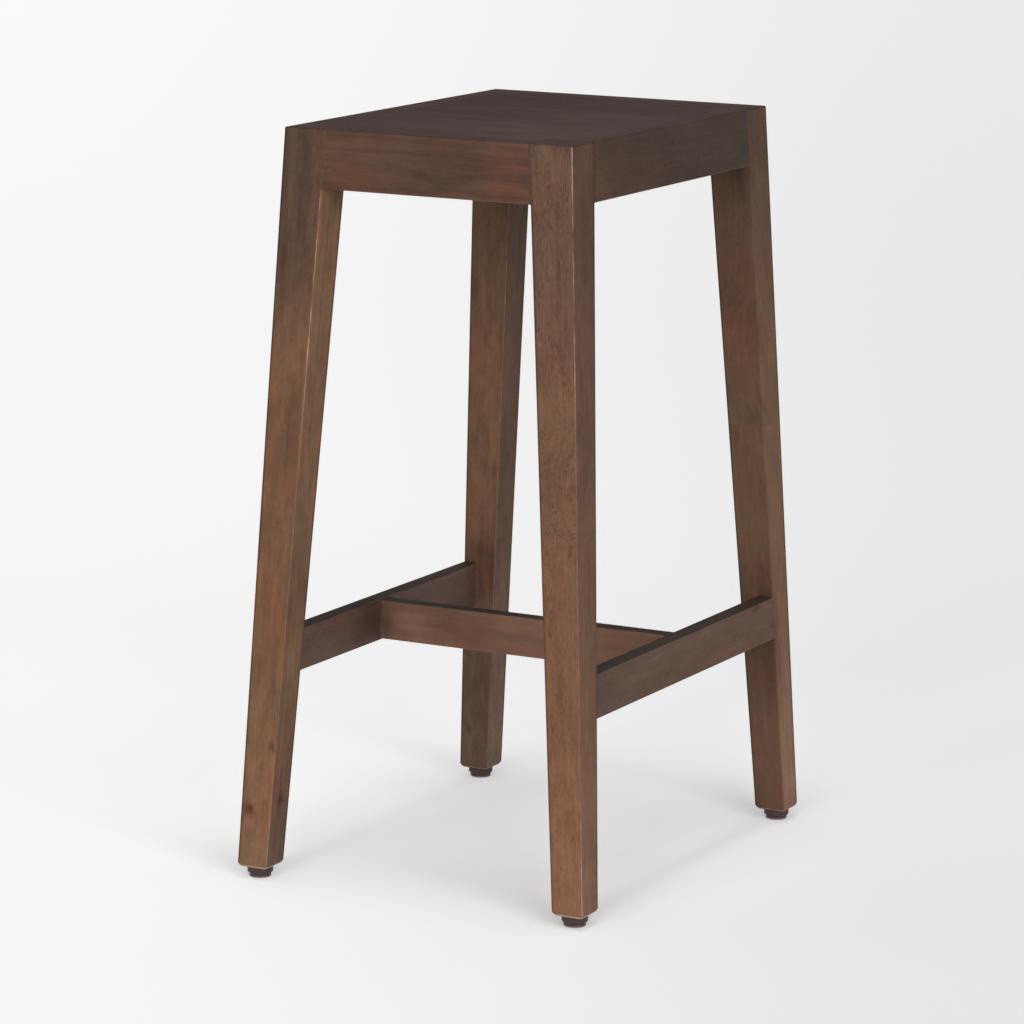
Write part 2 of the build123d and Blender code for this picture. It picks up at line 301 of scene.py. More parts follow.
def stained_wood_group():
    """Stained hardwood: wandering year rings, streaks, short pores and patches where the stain took."""
    places = dict.fromkeys(("Grain", "Seed", "Pith"), "Vector")
    amounts = ("Ring Width", "Figure", "Mottle", "Patches", "Pores", "Flecks", "Smoke")
    group, given, made = node_group(
        "stained_wood",
        {**places, "Tone": "Color", **dict.fromkeys(amounts, "Float")},
        {"Color": "Color", "Roughness": "Float", "Height": "Float"},
    )
    place = vector_calc("ADD", given["Grain"], given["Seed"])
    wander = noise(place, (9, 9, 2.4), 3.0, 0.5, "Color")
    wander = vector_times(vector_calc("SUBTRACT", wander, (0.5, 0.5, 0.5)), 0.024)
    bent = vector_calc("ADD", place, wander)
    from_pith = vector_calc("SUBTRACT", given["Grain"], given["Pith"])
    from_pith = vector_calc("ADD", from_pith, wander)
    flat = vector_calc("MULTIPLY", from_pith, (1, 1, 0.02))
    radius = vector_length(flat)
    rings = add(
        "ShaderNodeTexNoise",
        {"W": calc("DIVIDE", radius, given["Ring Width"]), "Scale": 1.0, "Detail": 3.0},
        noise_dimensions="1D",
    )
    streaks = noise(bent, (230, 230, 7), 3.0, 0.6)
    fibres = noise(bent, (1000, 1000, 18), 2.0, 0.6)
    clouds = noise(bent, (38, 38, 13), 3.0, 0.55)
    blotches = noise(bent, (120, 120, 48), 4.0, 0.62)
    dashes = noise(bent, (950, 950, 190), 1.0, 0.5)
    rows = step(noise(bent, (170, 170, 10), 2.0), 0.34, 0.62)
    pores = times(step(dashes, 0.52, 0.68), rows)
    flecks = step(dashes, 0.44, 0.28)

    figure = plus(centred(rings, 0.55), centred(streaks, 0.75))
    figure = plus(figure, centred(fibres, 0.45))
    figure = times(figure, given["Figure"])
    figure = plus(figure, centred(clouds, 1.2))
    uneven = times(centred(blotches, 2.2), given["Mottle"])
    figure = plus(figure, uneven)
    figure = step(figure, -0.85, 0.85)

    light = mix(1.0, given["Tone"], (1.34, 1.33, 1.30, 1), "MULTIPLY")
    dark = mix(1.0, given["Tone"], (0.70, 0.68, 0.68, 1), "MULTIPLY")
    colour = mix(figure, dark, light)
    red = step(noise(bent, (30, 30, 12), 2.0), 0.46, 0.70)
    olive_place = vector_calc("ADD", bent, (0.71, 0.37, 0.53))
    olive = step(noise(olive_place, (26, 26, 10), 2.0), 0.47, 0.72)
    smoke_place = vector_calc("ADD", bent, (0.19, 0.83, 0.29))
    smoke = step(noise(smoke_place, (34, 34, 9), 3.0), 0.42, 0.76)
    tints = (
        (red, "Patches", (1.13, 0.93, 0.88)),
        (olive, "Patches", (0.90, 0.96, 0.84)),
        (smoke, "Smoke", (0.72, 0.75, 0.80)),
        (flecks, "Flecks", (1.36, 1.34, 1.30)),
        (pores, "Pores", (0.58, 0.55, 0.54)),
    )
    for mask, amount, tint in tints:
        colour = tinted(colour, times(mask, given[amount]), tint)

    rough = calc("MULTIPLY_ADD", streaks, 0.20, 0.44)
    rough = calc("MULTIPLY_ADD", pores, 0.16, rough)
    height = calc("MULTIPLY_ADD", fibres, 0.35, 0.6)
    height = calc("MULTIPLY_ADD", times(pores, given["Pores"]), -0.6, height)
    put(made["Color"], colour)
    put(made["Roughness"], rough)
    put(made["Height"], height)
    return group


def edge_wear_and_highlight_group():
    """A broken pale line along an edge: partly where the stain has rubbed through, partly a painted
    highlight where the rounded edge catches the light.
    """
    inputs = {"Grain": "Vector", "Edge": "Float", "Width": "Float"}
    group, given, made = node_group("edge_wear_and_highlight", inputs, {"Mask": "Float"})
    ragged = noise(given["Grain"], (420, 420, 160), 2.0, 0.6)
    width = times(given["Width"], plus(ragged, 0.5))
    inner = times(width, 0.45)
    line = step(given["Edge"], inner, width, 1.0, 0.0)
    lengths = step(noise(given["Grain"], (16, 16, 13), 3.0, 0.6), 0.34, 0.58)
    put(made["Mask"], times(line, lengths))
    return group


def soft_spot_group():
    """A soft, uneven spot round a place, with its own reach along each axis."""
    inputs = dict.fromkeys(("Place", "Centre", "Reach"), "Vector")
    group, given, made = node_group("soft_spot", inputs, {"Mask": "Float"})
    offset = vector_calc("SUBTRACT", given["Place"], given["Centre"])
    offset = vector_calc("DIVIDE", offset, given["Reach"])
    away = vector_length(offset)
    uneven = centred(noise(offset, (1.6, 1.6, 1.6), 3.0, 0.6), 1.2)
    put(made["Mask"], step(plus(away, uneven), 0.15, 1.15, 1.0, 0.0))
    return group


leg_taper = leg_taper_group()
board_place = board_place_group()
stained_wood = stained_wood_group()
edge_wear_and_highlight = edge_wear_and_highlight_group()
soft_spot = soft_spot_group()


def new_material(name):
    """Begins a new material: itself, its shader and the object's own coordinates."""
    material = bpy.data.materials.new(name)
    material.use_nodes = True
    making.tree = material.node_tree
    shader = making.tree.nodes["Principled BSDF"]
    place = add("ShaderNodeTexCoord", out="Object")
    return material, shader, place


def finish(shader, colour, roughness, height, strength, distance):
    """Joins a colour, a roughness and a fine relief to a shader."""
    put(shader.inputs["Base Color"], colour)
    put(shader.inputs["Roughness"], roughness)
    relief = {"Strength": strength, "Distance": distance, "Height": height}
    put(shader.inputs["Normal"], add("ShaderNodeBump", relief))


def finish_wood(shader, wood, colour, sheen):
    """A wood under a thin satin finish."""
    finish(shader, colour, wood["Roughness"], wood["Height"], 0.3, 0.0002)
    shader.inputs["Specular IOR Level"].default_value = sheen


worn_and_highlight_colour = stain(222, 200, 184)
toe_pale_and_painted_light_colour = stain(204, 172, 148)
# Darker tones for top faces: painted shade, for the little light that falls on the tops of legs, aprons
# and stretchers
top_face_shade_tone = stain(72, 53, 48)
stretcher_top_shade_tone = stain(64, 51, 44)
smudge = (0.70, 0.74, 0.80)
dark_brown = (0.72, 0.68, 0.66)
knot_red = (0.62, 0.46, 0.44)
knot_heart = (0.42, 0.36, 0.36)
pale_line = (1.55, 1.50, 1.45)
ruddy = (1.14, 0.98, 0.94)
rusty = (1.34, 1.16, 1.02)
paler = (1.22, 1.20, 1.17)

# Where a leg's tone changes, in shares of its length: painted light near the foot and painted shade at
# the head
middle_tone_fade = (0.04, 0.42)
head_tone_fade = (0.55, 0.93)

# Where a leg's pores, its pale arris line (wear and painted highlight) and its pale toe (bare wood and
# painted light) begin and end, in metres from its foot
pores_fade = (0.12, 0.36)
foot_wear_and_highlight_fade = (0.07, 0.14)
head_wear_and_highlight_fade = (0.36, 0.54)
toe_fade = (0.0012, 0.0027)
sole_fade = (0.0001, 0.0004)
seam_half_width = 0.0004
seam_tint_reach = 0.1

# The dark lines along a leg's edges, painted shade on the arrises that turn from the light, which stop
# short of its outer arris
edge_shade_tint = (0.52, 0.52, 0.54)
front_edge_shade_width = 0.0034
side_edge_shade_width = 0.0052
arris_fade = (0.004, 0.006)

top_skin = 0.0014
leg_ring_width = 0.0042
board_ring_width = 0.0050
leg_wear_and_highlight_width = 0.0009
board_wear_and_highlight_width = 0.0011

turns = {"x": (0, math.radians(90), 0), "y": (math.radians(90), 0, 0)}
plain_board = {
    "pith": (0.07, 0.02, 0),
    "figure": 0.7,
    "mottle": 0.35,
    "patches": 0.7,
    "pores": 0.2,
    "flecks": 0.05,
    "smoke": 0.4,
    "wear_and_highlight": 0.08,
    "sheen": wood_sheen,
    "skin": top_skin,
    "marks": [],
}
calm_leg = {
    "figure": 0.8,
    "mottle": 0.5,
    "side_pores": 1.0,
    "patches": 0.5,
    "pores": 0.25,
    "low_pores": 1.0,
    "flecks": 0.15,
    "smoke": 0.4,
    "shaded_edges": 0.7,
    "toe": 0.3,
    "marks": [],
}


def wood_inputs(look, grain, tone, ring_width):
    """What the wood group takes from a look, by the names of its inputs."""
    shared = ("seed", "pith", "figure", "mottle", "patches", "pores", "flecks", "smoke")
    inputs = {name.capitalize(): look[name] for name in shared}
    return {**inputs, "Grain": grain, "Tone": tone, "Ring Width": ring_width}


def metres(sizes):
    return tuple(size / 1000 for size in sizes)


def marked(place, colour, marks):
    """Adds soft marks to a colour, each with centre and reach in millimetres, tint and strength. Some
    marks are stains, some are painted shade.
    """
    for centre, reach, tint, strength in marks:
        spot = use(soft_spot, {"Place": place, "Centre": metres(centre), "Reach": metres(reach)})
        colour = tinted(colour, times(spot["Mask"], strength), tint)
    return colour


def under_top(place, top, depth):
    """A mask of what lies in the top skin of a piece, just under the given height, where painted shade
    darkens its top face.
    """
    gap = minus(top, split(place)["Z"])
    return step(gap, depth * 0.3, depth, 1.0, 0.0)


def leg_tone_and_shading(leg, tones):
    """A leg's tone from its foot by its middle to its head. Besides the wood's own tone this paints
    light and shade: paler near the floor, where light is thrown up from it, and darker at the head, in
    the shade under the apron.
    """
    low, middle, high = [stain(*tone) for tone in tones]
    tone = mix(step(leg["Share"], *middle_tone_fade), low, middle)
    return mix(step(leg["Share"], *head_tone_fade), tone, high)


def leg_ends(corner):
    """The middles of a leg's bottom and top."""
    low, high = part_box("leg_" + corner)
    pad_low, pad_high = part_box("foot_pad_" + corner)
    foot = (pad_low + pad_high) / 2
    head_x = math.copysign(seat_edge.x - leg_top_side / 2, foot.x)
    head_y = math.copysign(seat_edge.y - leg_top_side / 2, foot.y)
    return Vector((foot.x, foot.y, low.z)), Vector((head_x, head_y, high.z))


def leg_wood(corner, look):
    """A leg's wood: its tones on front and side, paler at the foot and darker at the head with painted
    light and shade, its glued length, its marks, painted shade on the arrises turned from the light,
    and its pale outer arris, partly worn and partly a painted highlight.
    """
    material, shader, place = new_material("leg_wood_" + corner)
    foot, head = leg_ends(corner)
    halves = {"Foot Half": leg_bottom_side / 2, "Head Half": leg_top_side / 2}
    leg = use(leg_taper, {"Place": place, "Foot": foot, "Head": head, **halves})
    front = leg_tone_and_shading(leg, look["front"])
    side = leg_tone_and_shading(leg, look["side"])
    tone = mix(leg["Side"], front, side)
    # Painted shade: the leg's top face is darker, as little light falls on it
    tone = mix(under_top(place, head.z, top_skin), tone, top_face_shade_tone)
    grain = leg["Grain"]
    height = split(grain)["Z"]
    if "seam" in look:
        seam = look["seam"]
        over = step(height, seam - seam_half_width, seam + seam_half_width)
        fading = step(height, seam, seam + look["slant_reach"], look["slant"], 0.0)
        angle = times(over, fading)
        slant = {"Vector": grain, "Center": (0, 0, seam), "Axis": (0.6, 0.8, 0), "Angle": angle}
        slanted = add("ShaderNodeVectorRotate", slant, rotation_type="AXIS_ANGLE")
        grain = vector_calc("ADD", slanted, vector_times(join(0.31, 0.17, 0.4), over))
        near_seam = times(over, step(height, seam, seam + seam_tint_reach, 1.0, 0.0))
        tone = tinted(tone, near_seam, look["above"])
    open_grain = calc("MULTIPLY_ADD", leg["Side"], look["side_pores"] - 1.0, 1.0)
    low_pores = step(height, *pores_fade, look["low_pores"], 1.0)
    open_grain = times(open_grain, low_pores)
    inputs = wood_inputs(look, grain, tone, leg_ring_width)
    for name in ("Pores", "Flecks"):
        inputs[name] = times(open_grain, inputs[name])
    wood = use(stained_wood, inputs)
    colour = marked(place, wood["Color"], look["marks"])
    # Painted shade: dark lines along the arrises that turn from the light
    edge_shade_change = side_edge_shade_width - front_edge_shade_width
    edge_shade_width = calc("MULTIPLY_ADD", leg["Side"], edge_shade_change, front_edge_shade_width)
    edge_shade = calc("DIVIDE", leg["Edge"], edge_shade_width)
    edge_shade = step(edge_shade, 0.40, 1.0, look["shaded_edges"], 0.0)
    edge_shade = times(edge_shade, step(leg["Arris"], *arris_fade))
    colour = tinted(colour, edge_shade, edge_shade_tint)
    # Pale line on the outer arris: partly rubbed finish, partly a painted highlight on the arris that
    # faces the light
    foot_wear_and_highlight, middle_wear_and_highlight, head_wear_and_highlight, bare = look["wear_and_highlight"]
    strength = step(height, *head_wear_and_highlight_fade, middle_wear_and_highlight, head_wear_and_highlight)
    strength = calc("MAXIMUM", strength, step(height, *foot_wear_and_highlight_fade, foot_wear_and_highlight, 0.0))
    shoulder = apron_bottom - foot.z
    below_apron = step(height, shoulder - 0.02, shoulder + 0.01, 1.0, bare)
    strength = times(strength, below_apron)
    line = use(edge_wear_and_highlight, {"Grain": leg["Grain"], "Edge": leg["Arris"], "Width": leg_wear_and_highlight_width})
    colour = mix(times(line["Mask"], strength), colour, worn_and_highlight_colour)
    # Pale toe: partly bare wood, partly painted light on the rounding that faces down to the floor
    toe = times(step(height, *toe_fade, 1.0, 0.0), look["toe"])
    toe = times(toe, step(height, *sole_fade, 0.15, 1.0))
    colour = mix(toe, colour, toe_pale_and_painted_light_colour)
    finish_wood(shader, wood, colour, wood_sheen)
    return material


def board_wood(node, along, look):
    """A board's wood, with its grain along one axis, a darker top that is painted shade, its marks
    (some of them painted shade) and pale edges, partly rubbed finish and partly a painted highlight.
    """
    look = {**plain_board, **look}
    material, shader, place = new_material("wood_" + node)
    low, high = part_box(node)
    board = use(board_place, {"Place": place, "Low": low, "High": high, "Turn": turns[along]})
    axis = "xyz".index(along)
    middle = ((low + high) / 2)[axis]
    most = (high - low)[axis] * 0.4
    tone = stain(*look["tone"])
    if "far_tone" in look:
        change = step(split(place)[axis], middle - most, middle + most)
        tone = mix(change, tone, stain(*look["far_tone"]))
    # Painted shade: the board's top face is darker, as little light falls on it
    if "top_face_shade_tone" in look:
        tone = mix(under_top(place, high.z, look["skin"]), tone, look["top_face_shade_tone"])
    wood = use(stained_wood, wood_inputs(look, board["Grain"], tone, board_ring_width))
    colour = marked(place, wood["Color"], look["marks"])
    edges = {"Grain": board["Grain"], "Edge": board["Edge"], "Width": board_wear_and_highlight_width}
    # Pale edges: partly rubbed finish, partly a painted highlight on the rounded edges
    line = use(edge_wear_and_highlight, edges)
    colour = mix(times(line["Mask"], look["wear_and_highlight"]), colour, worn_and_highlight_colour)
    finish_wood(shader, wood, colour, look["sheen"])
    nodes[node].material_slots[0].material = material


# What sets each leg's wood apart: tones from foot to head on front and side, with painted light near
# the foot and painted shade at the head, marks, some of them painted shade, and the pale line on the
# outer arris, partly wear and partly a painted highlight
leg_looks = {
    "front_left": {
        "front": ((126, 94, 72), (120, 87, 65), (88, 67, 55)),
        "side": ((104, 80, 66), (127, 95, 71), (122, 91, 70)),
        "seed": (0.13, 0.42, 0.07),
        "pith": (0.03, 0.06, 0),
        "figure": 1.0,
        "flecks": 0.25,
        "wear_and_highlight": (0.25, 0.12, 0.95, 0.0),
        "toe": 0.95,
        "mottle": 0.7,
        "patches": 0.8,
        "shaded_edges": 0.9,
        "marks": [
            ((-118, -191, 630), (11, 20, 40), smudge, 0.75),
            ((-119, -192, 588), (10, 20, 32), smudge, 0.5),
            ((-138, -193, 590), (7, 20, 100), smudge, 0.6),
            ((-159, -215, 62), (8, 8, 10), knot_red, 0.8),
            ((-158, -215, 63), (3.6, 6, 6), knot_heart, 0.8),
            ((-137, -199, 71), (8, 9, 9), knot_red, 0.7),
            ((-137, -200, 71), (6, 4, 5), knot_heart, 0.8),
            ((-137, -213, 120), (4, 5, 7), knot_heart, 0.75),
            ((-158, -215, 42), (8, 8, 9), smudge, 0.5),
            ((-140, -207, 34), (10, 4, 24), dark_brown, 0.7),
            ((-120, -188, 270), (20, 30, 75), smudge, 0.9),
            ((-140, -205, 385), (22, 14, 60), smudge, 0.55),
            # Painted shade: the dark corner under the front apron
            ((-98, -165, 598), (12, 16, 16), dark_brown, 0.6),
        ],
    },
    "front_right": {
        "front": ((131, 94, 72), (113, 83, 64), (98, 74, 60)),
        "side": ((127, 93, 74), (106, 77, 60), (89, 65, 51)),
        "seed": (0.55, 0.21, 0.33),
        "pith": (-0.05, 0.05, 0),
        "seam": 0.323,
        "slant": 0.9,
        "slant_reach": 0.10,
        "above": (0.97, 0.97, 1.0),
        "mottle": 0.6,
        "pores": 0.75,
        "flecks": 0.6,
        "side_pores": 0.25,
        "wear_and_highlight": (0.4, 0.08, 0.6, 1.0),
        "low_pores": 0.7,
        "toe": 0.95,
        "marks": [
            ((128, -190, 656), (14, 10, 9), dark_brown, 0.5),
            ((139, -148, 640), (20, 14, 60), dark_brown, 0.4),
            ((150, -180, 385), (20, 30, 60), smudge, 0.35),
            ((162, -192, 165), (20, 30, 60), smudge, 0.35),
            ((147, -211, 165), (24, 10, 60), ruddy, 0.5),
        ],
    },
    "rear_right": {
        "front": ((102, 76, 61), (101, 76, 60), (90, 68, 55)),
        "side": ((135, 103, 83), (113, 85, 64), (96, 72, 58)),
        "seed": (0.29, 0.63, 0.88),
        "pith": (0.04, 0.05, 0),
        "seam": 0.362,
        "slant": 0.55,
        "slant_reach": 0.16,
        "above": (0.94, 0.98, 1.0),
        "wear_and_highlight": (0.0, 0.0, 0.0, 0.0),
        "marks": [
            # Painted shade: the two dark spots at the head, under the apron
            ((139, 158, 640), (20, 34, 70), dark_brown, 0.95),
            ((125, 152, 594), (22, 20, 34), dark_brown, 0.6),
            ((130, 160, 480), (30, 20, 100), ruddy, 0.7),
            # Partly a darker stain, partly painted shade below the right stretcher
            ((150, 179, 168), (36, 24, 85), dark_brown, 1.0),
        ],
    },
    "rear_left": {
        "front": ((101, 79, 66), (114, 84, 64), (91, 72, 56)),
        "side": ((125, 100, 83), (98, 72, 57), (82, 61, 47)),
        "seed": (0.81, 0.11, 0.52),
        "pith": (-0.03, 0.06, 0),
        "mottle": 0.75,
        "wear_and_highlight": (0.0, 0.15, 0.40, 0.0),
        "marks": [
            # Partly a darker stain, partly painted shade where the leg meets the top of the left
            # stretcher
            ((-138, 175, 224), (22, 20, 24), dark_brown, 1.0),
            ((-143, 160, 470), (10, 20, 30), smudge, 0.7),
            ((-126, 163, 420), (9, 20, 50), rusty, 0.35),
            ((-127, 168, 335), (7, 20, 30), rusty, 0.4),
            ((-125, 170, 305), (3, 20, 12), knot_heart, 0.45),
            ((-137, 176, 202), (6, 20, 26), rusty, 0.65),
            ((-146, 180, 150), (20, 20, 30), smudge, 0.35),
            ((-130, 178, 198), (4, 20, 30), smudge, 0.6),
            ((-160, 185, 49), (5, 6, 8), knot_heart, 0.5),
        ],
    },
}


def dress_boards():
    """Gives every apron, seat board, stretcher, cleat and corner block its own wood."""
    apron = {"tone": (88, 64, 52), "far_tone": (92, 67, 55), "top_face_shade_tone": top_face_shade_tone}
    apron = {**apron, "pith": (0.09, 0.01, 0), "patches": 0.9}
    apron_front_marks = [
        ((11, -191, 622), (45, 10, 12), smudge, 0.6),
        ((-40, -190, 632), (30, 10, 5), smudge, 0.5),
        ((5, -190, 630), (60, 10, 40), smudge, 0.3),
        ((23, -190, 643), (24, 10, 9), ruddy, 0.8),
        ((71, -190, 642), (26, 10, 13), ruddy, 0.8),
    ]
    brushed = {"figure": 1.1, "mottle": 0.6, "smoke": 0.6}
    brushed = {**brushed, "seed": (0.2, 0.5, 0.1), "marks": apron_front_marks}
    board_wood("apron_front", "x", {**apron, **brushed})
    board_wood("apron_rear", "x", {**apron, "seed": (0.6, 0.1, 0.7)})
    board_wood("apron_left", "y", {**apron, "seed": (0.9, 0.3, 0.4)})
    dark = {"tone": (73, 55, 45), "far_tone": (66, 52, 45), "figure": 0.5, "patches": 0.5}
    apron_right_marks = [
        ((139, -46, 646), (20, 50, 14), smudge, 0.4),
        ((139, 0, 630), (20, 60, 50), smudge, 0.3),
        ((139, -150, 632), (20, 34, 60), paler, 0.95),
    ]
    dark = {**dark, "seed": (0.4, 0.8, 0.2), "marks": apron_right_marks}
    board_wood("apron_right", "y", {**apron, **dark})
    seat = {"figure": 0.5, "mottle": 0.1, "pores": 0.1, "flecks": 0.0, "smoke": 0.5, "patches": 0.4}
    seat["wear_and_highlight"] = 0.0
    seat_tones = {
        "front": ((73, 51, 46), (81, 60, 53)),
        "middle": ((67, 48, 42), (75, 54, 48)),
        "rear": ((62, 43, 39), (69, 49, 44)),
    }
    for number, (name, (tone, far_tone)) in enumerate(seat_tones.items()):
        seed = (0.15 + 0.27 * number, 0.4, 0.6)
        own = {"tone": tone, "far_tone": far_tone, "seed": seed}
        board_wood("seat_board_" + name, "x", {**seat, **own})
    stretcher = {"pith": (0.06, 0.03, 0), "top_face_shade_tone": stretcher_top_shade_tone, "skin": 0.0010, "figure": 0.6}
    left_marks = [
        # Painted shade: the end of the stretcher beside the rear leg
        ((-146, 161, 193), (20, 14, 30), dark_brown, 0.6),
        # Painted shade near the joint with the centre stretcher
        ((-146, -30, 192), (20, 36, 40), dark_brown, 0.95),
        ((-146, 45, 194), (20, 50, 40), smudge, 0.35),
        ((-153, 130, 215), (30, 70, 6), pale_line, 0.7),
        ((-146, 175.5, 196), (20, 3.2, 30), pale_line, 0.9),
        ((-146, -8.5, 194), (20, 1.2, 22), pale_line, 0.4),
    ]
    right_marks = [
        ((161, -165, 202), (20, 22, 22), smudge, 0.6),
        ((160, 142, 210), (10, 12, 4), knot_heart, 0.6),
    ]
    centre_marks = [
        ((-118, -7.5, 196), (22, 20, 12), paler, 0.7),
        ((-110, -7.5, 193), (22, 20, 18), paler, 0.7),
        ((-142, -7.5, 194), (11, 20, 30), smudge, 0.8),
        ((-60, -7.5, 193), (42, 20, 60), smudge, 0.65),
        ((-79, -7.5, 185), (30, 20, 10), paler, 0.4),
    ]
    left = {"tone": (98, 77, 66), "far_tone": (93, 74, 64), "seed": (0.7, 0.2, 0.9)}
    left["marks"] = left_marks
    right = {"tone": (96, 75, 63), "seed": (0.1, 0.9, 0.5), "marks": right_marks}
    centre = {"tone": (122, 91, 74), "seed": (0.3, 0.6, 0.8), "marks": centre_marks}
    board_wood("stretcher_left", "y", {**stretcher, **left})
    board_wood("stretcher_right", "y", {**stretcher, **right})
    board_wood("stretcher_centre", "x", {**stretcher, **centre})
    raw = {"tone": (150, 118, 84), "smoke": 0.1, "patches": 0.3, "pores": 0.5}
    raw = {**raw, "wear_and_highlight": 0.0, "sheen": raw_wood_sheen}
    for number, side in enumerate(("left", "right")):
        board_wood("seat_cleat_" + side, "y", {**raw, "seed": (0.2 + 0.3 * number, 0.7, 0.3)})
    for number, corner in enumerate(corners):
        board_wood("corner_block_" + corner, "x", {**raw, "seed": (0.1 + 0.2 * number, 0.2, 0.9)})


def zinc():
    """Bright zinc-plated steel with a faint mottle and fine scratches."""
    material, shader, place = new_material("zinc_plate")
    mottle = noise(place, (420, 420, 420), 3.0, 0.6)
    scratches = noise(place, (2400, 2400, 160), 2.0)
    colour = mix(mottle, stain(168, 170, 172), stain(206, 206, 200))
    finish(shader, colour, calc("MULTIPLY_ADD", mottle, 0.22, 0.24), scratches, 0.2, 0.0001)
    shader.inputs["Metallic"].default_value = 1.0
    return material


def foot_plastic(name, tone, worn, rim=0.0):
    """Moulded plastic with a fine grain, cloudy colour, scuffs and a paler rim on the floor."""
    material, shader, place = new_material(name)
    grain = noise(place, (2600, 2600, 2600), 2.0)
    clouds = noise(place, (210, 210, 210), 3.0, 0.6)
    scuffs = step(noise(place, (520, 520, 900), 3.0, 0.65), 0.52, 0.70)
    colour = mix(1.0, tone, (0.72, 0.70, 0.70, 1), "MULTIPLY")
    colour = mix(clouds, colour, mix(1.0, tone, (1.3, 1.3, 1.3, 1), "MULTIPLY"))
    colour = mix(times(scuffs, 0.5), colour, worn)
    # Paler near the floor: partly the pad's own pale lip, partly painted light on its rounding that
    # faces down
    on_floor = step(split(place)["Z"], 0.0006, 0.0019, rim, 0.0)
    colour = mix(on_floor, colour, stain(168, 156, 160))
    finish(shader, colour, calc("MULTIPLY_ADD", clouds, 0.2, 0.38), grain, 0.25, 0.0001)
    shader.inputs["Specular IOR Level"].default_value = plastic_sheen
    return material


# Meshes

def new_object(name, mesh, material):
    obj = bpy.data.objects.new(name, mesh)
    bpy.context.scene.collection.objects.link(obj)
    mesh.materials.clear()
    mesh.materials.append(material)
    return obj


def rounded(corner_point, before, after, radius, steps=5):
    """Points that round one corner of an outline, given the points before and after it."""
    corner_point, before, after = Vector(corner_point), Vector(before), Vector(after)
    to_before = (before - corner_point).normalized()
    to_after = (after - corner_point).normalized()
    half_angle = to_before.angle(to_after) / 2
    reach = radius / math.tan(half_angle)
    centre = corner_point + (to_before + to_after).normalized() * radius / math.sin(half_angle)
    start = corner_point + to_before * reach - centre
    end = corner_point + to_after * reach - centre
    first = math.atan2(start.y, start.x)
    sweep = math.remainder(math.atan2(end.y, end.x) - first, math.tau)
    angles = [first + sweep * i / steps for i in range(steps + 1)]
    return [centre + Vector((math.cos(a), math.sin(a))) * radius for a in angles]


def rounded_outline(corner_points):
    """A closed outline from its corners: how far each is from the axis, its height and its rounding."""
    points = []
    count = len(corner_points)
    for i, (across, height, rounding) in enumerate(corner_points):
        before = corner_points[i - 1][:2]
        after = corner_points[(i + 1) % count][:2]
        if rounding:
            points += rounded((across, height), before, after, rounding)
        else:
            points.append(Vector((across, height)))
    return points


hexagon_margin = 0.0015


def hexagon_reach(angle, flats):
    """How far a hexagon's side is from its middle, in one direction."""
    sixth = math.pi / 3
    return flats / 2 / math.cos((angle % sixth) - sixth / 2)


def turned(name, centre, outline, segments=72, hexagon_flats=0.0):
    """Turns an outline about an upright axis. With hexagon_flats, its inside is a hexagon."""
    bm = bmesh.new()
    rings = []
    for k in range(segments):
        angle = math.tau * k / segments
        ring = []
        for across, height in outline:
            if hexagon_flats and across < hexagon_flats / 2 + hexagon_margin:
                across = hexagon_reach(angle, hexagon_flats)
            place = (centre.x + across * math.cos(angle), centre.y + across * math.sin(angle), height)
            ring.append(bm.verts.new(place))
        rings.append(ring)
    count = len(outline)
    for k in range(segments):
        here = rings[k]
        there = rings[(k + 1) % segments]
        for i in range(count):
            j = (i + 1) % count
            bm.faces.new((here[i], there[i], there[j], here[j]))
    bmesh.ops.remove_doubles(bm, verts=bm.verts, dist=1e-7)
    bmesh.ops.recalc_face_normals(bm, faces=bm.faces)
    mesh = bpy.data.meshes.new(name)
    bm.to_mesh(mesh)
    bm.free()
    return mesh


def smooth(obj, degrees=32):
    """Shades a mesh smooth, with its sharper edges kept."""
    bm = bmesh.new()
    bm.from_mesh(obj.data)
    for face in bm.faces:
        face.smooth = True
    for edge in bm.edges:
        if len(edge.link_faces) == 2:
            edge.smooth = edge.calc_face_angle(0.0) < math.radians(degrees)
    bm.to_mesh(obj.data)
    bm.free()


toe_height = 0.0040
toe_inset = 0.0026
toe_bluntness = 0.17
toe_corner = 0.8
toe_steps = 7
toe_outside = 0.38
flat_face_area = 0.002


def leg_across(foot, head, point):
    """How far a point is from the middle line of a leg."""
    share = (point.z - foot.z) / (head.z - foot.z)
    return (point - foot.lerp(head, share)).to_2d()


def toe_ring(bm, foot, head, rim, rise, shrink):
    """Carries the rim of a leg's toe down to a lower, smaller ring with blunter corners."""
    made = bmesh.ops.extrude_edge_only(bm, edges=rim)["geom"]
    for vertex in [item for item in made if isinstance(item, bmesh.types.BMVert)]:
        across = leg_across(foot, head, vertex.co)
        near, far = sorted((abs(across.x), abs(across.y)))
        cornering = max(0.0, near / far - toe_corner) / (1.0 - toe_corner)
        blunt = toe_bluntness / toe_steps * cornering
        across *= shrink * (1.0 - blunt)
        middle = foot.lerp(head, rise / (head.z - foot.z))
        vertex.co = middle + across.to_3d()
    return [item for item in made if isinstance(item, bmesh.types.BMEdge)]


